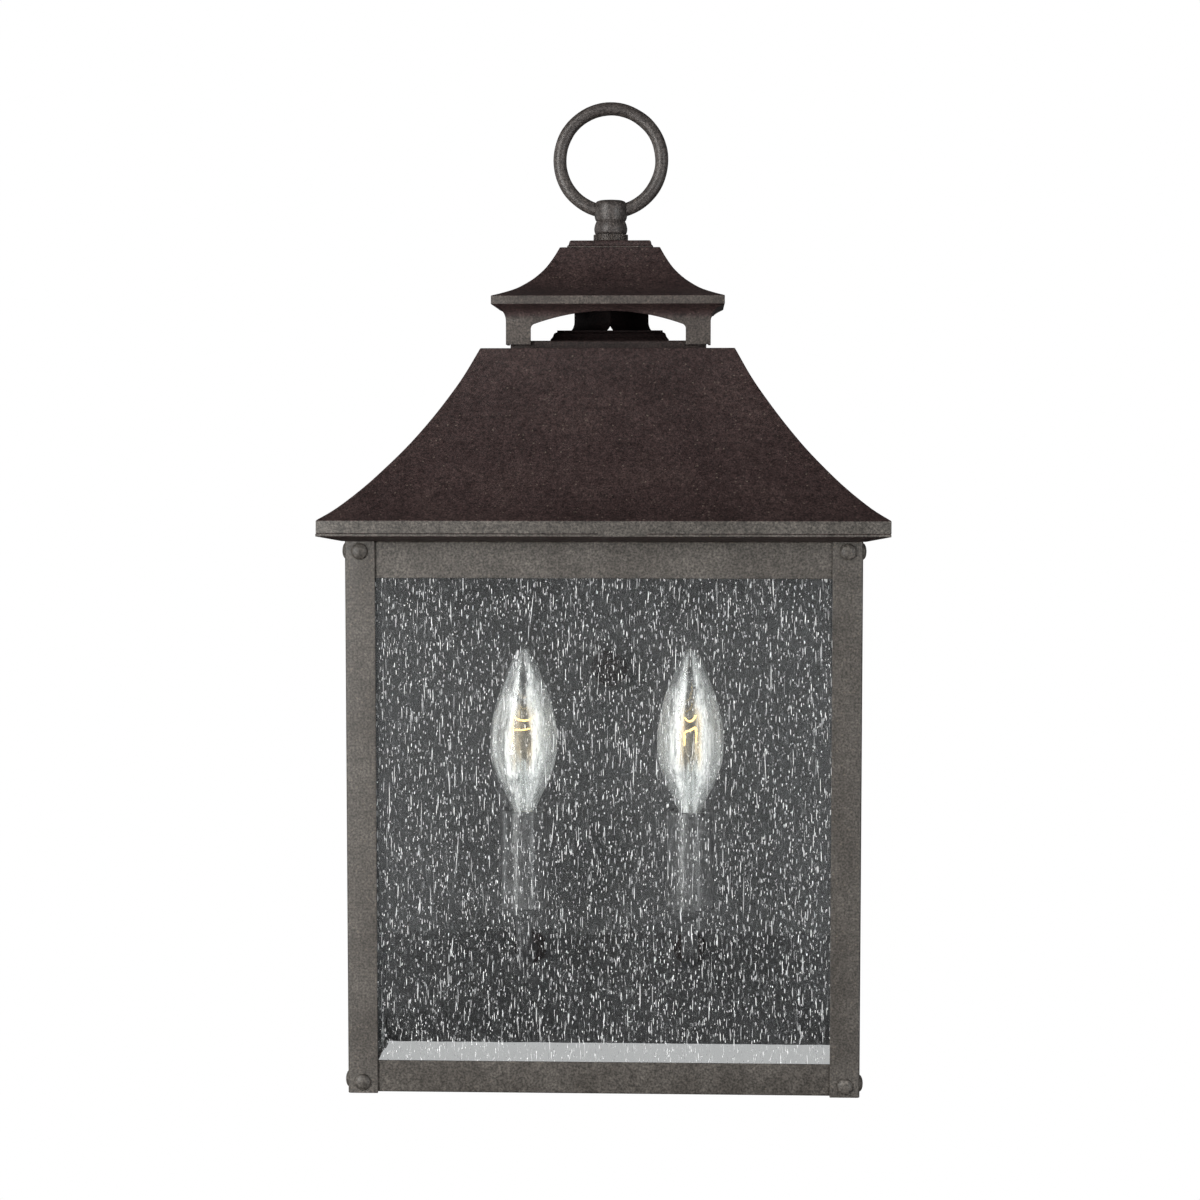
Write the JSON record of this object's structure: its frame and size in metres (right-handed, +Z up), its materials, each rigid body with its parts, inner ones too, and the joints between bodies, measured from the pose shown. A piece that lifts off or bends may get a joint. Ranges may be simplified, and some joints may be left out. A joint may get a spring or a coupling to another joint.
{
  "type": "wall lantern",
  "caption": "Half lantern for a wall: glazed rectangular body open at the foot, flared hipped roof, arched vent cupola with ring finial, candle lamps inside.",
  "frame": {"origin": "centre of the two slots of the mounting bar, on the wall plane", "axes": "+Z up, +Y into the wall (the front of the lantern faces -Y), +X to the right seen from the front"},
  "size_m": [0.2636, 0.1318, 0.4762],
  "materials": {
    "paint_frame": "textured satin dark bronze",
    "paint_roof": "textured satin dark bronze",
    "paint_finial": "textured satin dark bronze",
    "paint_inside": "textured satin dark bronze",
    "candle_sleeve": "satin dark bronze",
    "seeded_glass": "clear with seeds and streaks",
    "plated_steel": "zinc plated",
    "ground_green": "gloss",
    "socket_body": "moulded",
    "brass": "bright",
    "lamp_glass": "clear",
    "lamp_stem_glass": "clear",
    "filament": "glowing wire"
  },
  "bodies": {
    "lantern": {"arched_gallery": "paint_roof", "arm_collars": "paint_inside", "arm_left": "paint_inside", "arm_nuts": "plated_steel", "arm_right": "paint_inside", "back_plate": "paint_inside", "back_rivets": "plated_steel", "candle_cup_left": "paint_inside", "candle_cup_right": "paint_inside", "candle_sleeve_left": "candle_sleeve", "candle_sleeve_right": "candle_sleeve", "corner_rivets": "paint_frame", "cupola_screws": "plated_steel", "eave_tray": "paint_roof", "finial_rod": "plated_steel", "glass_clips": "plated_steel", "glass_front": "seeded_glass", "glass_left": "seeded_glass", "glass_right": "seeded_glass", "ground_screw": "ground_green", "main_roof": "paint_roof", "mounting_bar": "plated_steel", "mounting_nipple": "plated_steel", "neck_base": "paint_roof", "nipple_nut": "plated_steel", "post_front_left": "paint_frame", "post_front_right": "paint_frame", "post_rear_left": "paint_frame", "post_rear_right": "paint_frame", "rail_front_bottom": "paint_frame", "rail_front_top": "paint_frame", "rail_left_bottom": "paint_frame", "rail_left_top": "paint_frame", "rail_right_bottom": "paint_frame", "rail_right_top": "paint_frame", "rod_nut": "plated_steel", "roof_cap_plate": "paint_roof", "small_roof": "paint_roof", "socket_contacts": "brass", "socket_left": "socket_body", "socket_right": "socket_body", "socket_saddles": "plated_steel", "socket_shell_left": "brass", "socket_shell_right": "brass", "top_plate": "paint_roof", "tray_screws": "plated_steel", "vent_neck": "paint_roof"},
    "lamp_left": {"lamp_glass_left": "lamp_glass", "lamp_base_left": "brass", "lamp_stem_left": "lamp_stem_glass", "lamp_filament_left": "filament"},
    "lamp_right": {"lamp_glass_right": "lamp_glass", "lamp_base_right": "brass", "lamp_stem_right": "lamp_stem_glass", "lamp_filament_right": "filament"},
    "knob": {"cap_nut": "paint_inside"},
    "lock_nut": {"knurled_nut": "paint_finial"},
    "finial": {"finial_collar": "paint_finial", "finial_ring": "paint_finial"}
  },
  "joints": [
    {"name": "lamp_left_turn", "type": "hinge", "parent": "lantern", "child": "lamp_left", "pos_m": [-0.0406, -0.065, -0.087], "axis": [0, 0, 1], "continuous": true},
    {"name": "lamp_right_turn", "type": "hinge", "parent": "lantern", "child": "lamp_right", "pos_m": [0.0406, -0.065, -0.087], "axis": [0, 0, 1], "continuous": true},
    {"name": "cap_nut_turn", "type": "hinge", "parent": "lantern", "child": "knob", "pos_m": [0, -0.03, 0], "axis": [0, -1, 0], "continuous": true},
    {"name": "lock_nut_turn", "type": "hinge", "parent": "lantern", "child": "lock_nut", "pos_m": [0, -0.0106, 0.2155], "axis": [0, 0, 1], "continuous": true},
    {"name": "finial_turn", "type": "hinge", "parent": "lantern", "child": "finial", "pos_m": [0, -0.0106, 0.22], "axis": [0, 0, 1], "range_deg": [-15, 15]}
  ]
}
